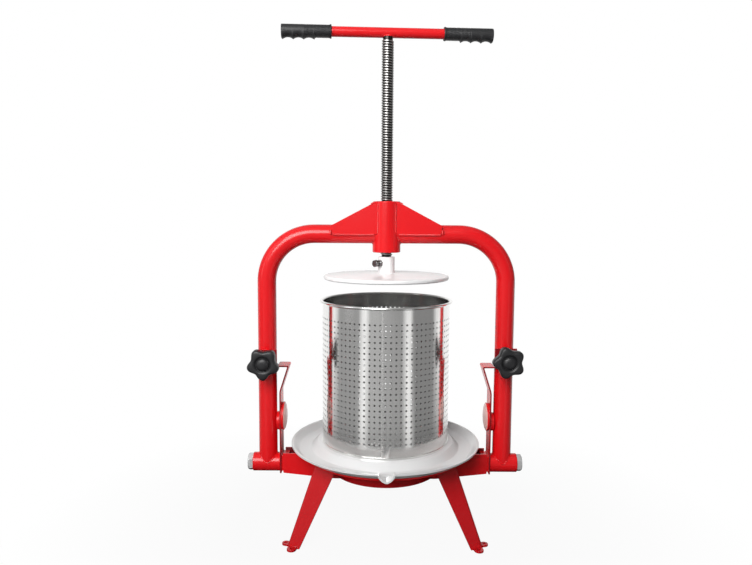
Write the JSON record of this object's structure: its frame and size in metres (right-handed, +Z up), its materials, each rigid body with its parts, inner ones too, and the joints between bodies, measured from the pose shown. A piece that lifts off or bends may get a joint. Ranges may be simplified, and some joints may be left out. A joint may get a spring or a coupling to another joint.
{
  "type": "fruit press",
  "caption": "Floor-standing screw fruit press: tilting tube yoke, T-handle spindle with press plate, perforated basket on a juice tray with spout, and a base on folded legs.",
  "frame": {"origin": "on the floor under the spindle axis, centre of the circle of the foot holes", "axes": "+Z up along the spindle, -Y to the front where the juice spout points, +X to the right seen from the front"},
  "size_m": [0.5716, 0.4244, 1.0204],
  "materials": {
    "red_coat": "gloss powder coat",
    "disc_coat": "gloss powder coat",
    "white_coat": "gloss white coat",
    "basket_steel": "brushed stainless",
    "spindle_steel": "dark oiled steel",
    "zinc_steel": "zinc plated",
    "nut_bronze": "machined bronze",
    "knob_plastic": "matt moulded plastic",
    "grip_rubber": "matt moulded grip"
  },
  "bodies": {
    "base": {"cross_beam": "red_coat", "support_drum": "red_coat", "press_table": "red_coat", "support_ring": "red_coat", "leg_left": "red_coat", "leg_right": "red_coat", "leg_rear": "red_coat", "end_block_left": "red_coat", "end_block_right": "red_coat", "lock_bracket_left": "red_coat", "lock_bracket_right": "red_coat", "guide_spacer_left": "red_coat", "guide_spacer_right": "red_coat", "buffer_disc_left": "disc_coat", "buffer_disc_right": "disc_coat", "pivot_bolt_left": "zinc_steel", "pivot_bolt_right": "zinc_steel", "lock_nut_left": "zinc_steel", "lock_nut_right": "zinc_steel"},
    "yoke": {"yoke_tube_left": "red_coat", "yoke_tube_right": "red_coat", "pivot_hub_left": "red_coat", "pivot_hub_right": "red_coat", "gusset_front_left": "red_coat", "gusset_front_right": "red_coat", "gusset_rear_left": "red_coat", "gusset_rear_right": "red_coat", "nut_housing": "red_coat", "spindle_nut": "nut_bronze"},
    "plate": {"press_plate": "white_coat", "plate_boss": "white_coat", "plate_bolt": "zinc_steel", "plate_nut": "zinc_steel"},
    "spindle": {"spindle": "spindle_steel", "handle_bar": "red_coat", "grip_left": "grip_rubber", "grip_right": "grip_rubber"},
    "tray": {"juice_tray": "white_coat"},
    "basket": {"basket_shell": "basket_steel", "basket_rim": "basket_steel", "basket_foot": "basket_steel"},
    "washer_left": {"knob_washer_left": "zinc_steel"},
    "knob_left": {"star_knob_left": "knob_plastic", "knob_stud_left": "zinc_steel"},
    "washer_right": {"knob_washer_right": "zinc_steel"},
    "knob_right": {"star_knob_right": "knob_plastic", "knob_stud_right": "zinc_steel"}
  },
  "joints": [
    {"name": "yoke_tilt", "type": "hinge", "parent": "base", "child": "yoke", "pos_m": [0, 0, 0.1325], "axis": [-1, 0, 0], "range_deg": [0, 90]},
    {"name": "plate_travel", "type": "slide", "parent": "yoke", "child": "plate", "axis": [0, 0, 1], "range_m": [-0.3151, 0.0076]},
    {"name": "spindle_turn", "type": "hinge", "parent": "plate", "child": "spindle", "pos_m": [0, 0, 0.55], "axis": [0, 0, 1], "range_deg": [-22680, 540]},
    {"name": "tray_lift", "type": "slide", "parent": "base", "child": "tray", "axis": [0, 0, 1], "range_m": [0, 0.03]},
    {"name": "basket_out", "type": "slide", "parent": "tray", "child": "basket", "axis": [0, -1, 0], "range_m": [0, 0.34]},
    {"name": "washer_slide_left", "type": "slide", "parent": "base", "child": "washer_left", "axis": [0, -1, 0], "range_m": [0, 0.003]},
    {"name": "knob_turn_left", "type": "hinge", "parent": "washer_left", "child": "knob_left", "pos_m": [-0.2443, -0.04, 0.352], "axis": [0, -1, 0], "range_deg": [0, 720.5]},
    {"name": "washer_slide_right", "type": "slide", "parent": "base", "child": "washer_right", "axis": [0, -1, 0], "range_m": [0, 0.003]},
    {"name": "knob_turn_right", "type": "hinge", "parent": "washer_right", "child": "knob_right", "pos_m": [0.2443, -0.04, 0.3575], "axis": [0, -1, 0], "range_deg": [0, 720.5]}
  ],
  "couplings": [
    {"joint": "plate_travel", "follows": "spindle_turn", "m_per_rad": 0.00079577},
    {"joint": "knob_turn_left", "follows": "washer_slide_left", "rad_per_m": 4188.8},
    {"joint": "knob_turn_right", "follows": "washer_slide_right", "rad_per_m": 4188.8}
  ]
}
